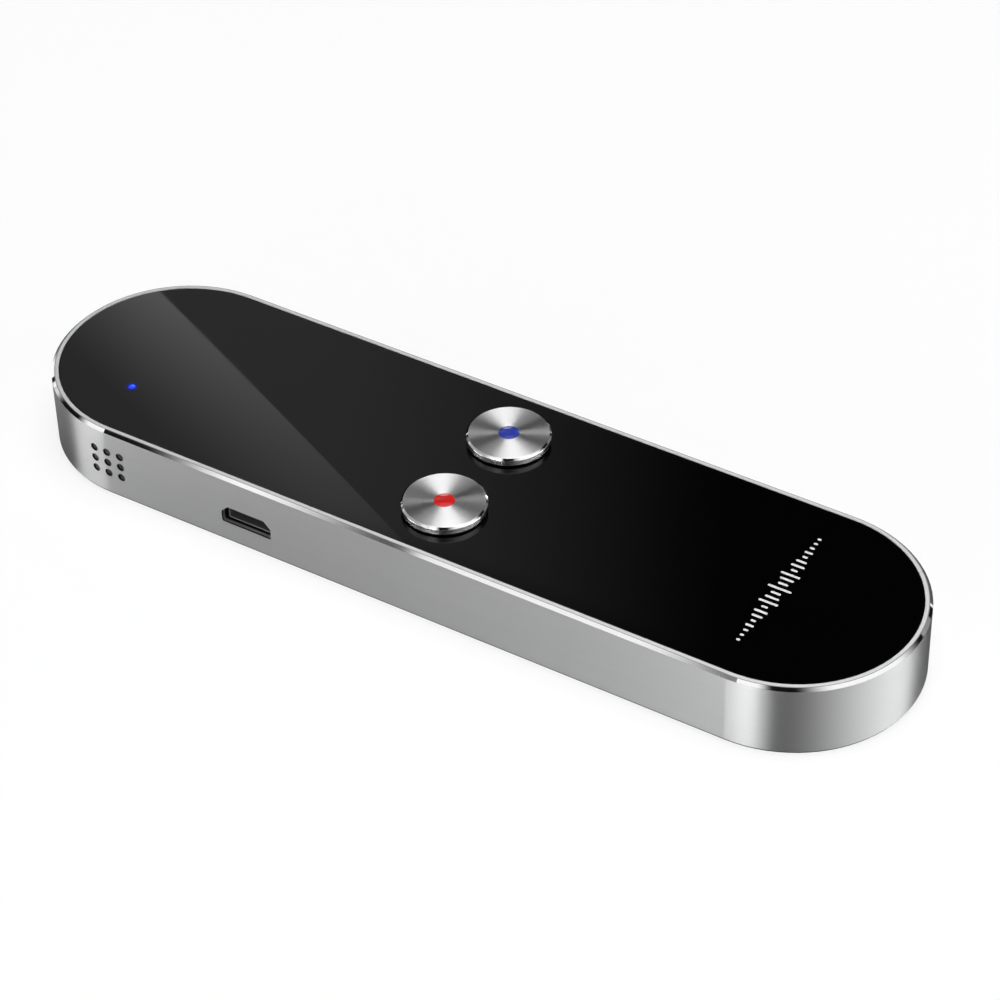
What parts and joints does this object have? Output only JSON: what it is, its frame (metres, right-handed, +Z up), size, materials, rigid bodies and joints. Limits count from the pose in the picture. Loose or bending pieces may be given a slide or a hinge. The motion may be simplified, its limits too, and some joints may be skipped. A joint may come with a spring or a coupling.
{
  "type": "handheld translator",
  "caption": "Bar-shaped handheld voice translator: aluminium housing, gloss black front panel, round push buttons, side sound grille, charging port and slide switch.",
  "frame": {"origin": "centre of the flat base, on the surface that the translator lies on", "axes": "+X along the length away from the sound grille, +Y across towards the power switch, +Z up through the buttons"},
  "size_m": [0.144, 0.039, 0.0139],
  "materials": {
    "satin_aluminium": "satin anodised wall, polished chamfer",
    "spun_aluminium": "spun face with concentric turning marks",
    "black_panel": "gloss black, back-printed",
    "adhesive": "black foam tape",
    "black_cover": "fine matt black moulding",
    "screw_steel": "blackened and nickel steel screws",
    "blue_enamel": "gloss blue resin",
    "red_enamel": "gloss red resin",
    "black_moulding": "matt black moulding",
    "switch_plate": "pressed plate",
    "board_laminate": "green solder mask",
    "chip_resin": "moulded resin",
    "nickel_can": "tinned metal",
    "copper_coil": "ferrite coil body",
    "ceramic_parts": "small ceramic parts",
    "lamp": "lamp resin",
    "blue_light": "clear rod lit blue",
    "port_steel": "folded steel",
    "gold_contacts": "gold plated strips",
    "battery_foil": "pouch foil",
    "lead_sleeve": "soft insulated lead",
    "antenna_copper": "copper on film",
    "mesh_steel": "fine woven mesh",
    "foam": "closed-cell foam",
    "magnet": "plated magnet",
    "diaphragm": "thin film cone",
    "boot_rubber": "soft boot"
  },
  "bodies": {
    "case": {"antenna_film": "antenna_copper", "antenna_spring": "gold_contacts", "back_cover": "black_cover", "battery_cell": "battery_foil", "battery_guard_board": "board_laminate", "battery_leads": "lead_sleeve", "battery_tape": "adhesive", "blue_switch_body": "switch_plate", "board_capacitors": "ceramic_parts", "board_screws": "screw_steel", "charger_chip": "chip_resin", "cover_screws": "screw_steel", "crystal": "nickel_can", "front_panel": "black_panel", "grille_gasket": "foam", "grille_mesh": "mesh_steel", "housing": "satin_aluminium", "indicator_led": "lamp", "light_pipe": "blue_light", "main_board": "board_laminate", "memory_chip": "chip_resin", "microphone": "nickel_can", "microphone_boot": "boot_rubber", "panel_tape": "adhesive", "power_coil": "copper_coil", "power_switch_body": "nickel_can", "processor_chip": "chip_resin", "radio_shield": "nickel_can", "red_switch_body": "switch_plate", "speaker_basket": "black_moulding", "speaker_box": "black_moulding", "speaker_diaphragm": "diaphragm", "speaker_magnet": "magnet", "usb_contacts": "gold_contacts", "usb_shell": "port_steel", "usb_tongue": "black_moulding"},
    "blue_button": {"blue_button_cap": "spun_aluminium", "blue_button_dot": "blue_enamel", "blue_button_plunger": "black_moulding", "blue_switch_stem": "black_moulding"},
    "red_button": {"red_button_cap": "spun_aluminium", "red_button_dot": "red_enamel", "red_button_plunger": "black_moulding", "red_switch_stem": "black_moulding"},
    "power_knob": {"power_knob": "black_moulding", "power_slider": "black_moulding"}
  },
  "joints": [
    {"name": "blue_button_press", "type": "slide", "parent": "case", "child": "blue_button", "axis": [0, 0, -1], "range_m": [0, 0.00025], "stiffness_N_per_m": 6000},
    {"name": "red_button_press", "type": "slide", "parent": "case", "child": "red_button", "axis": [0, 0, -1], "range_m": [0, 0.00025], "stiffness_N_per_m": 6000},
    {"name": "power_knob_slide", "type": "slide", "parent": "case", "child": "power_knob", "axis": [1, 0, 0], "range_m": [0, 0.002]}
  ]
}
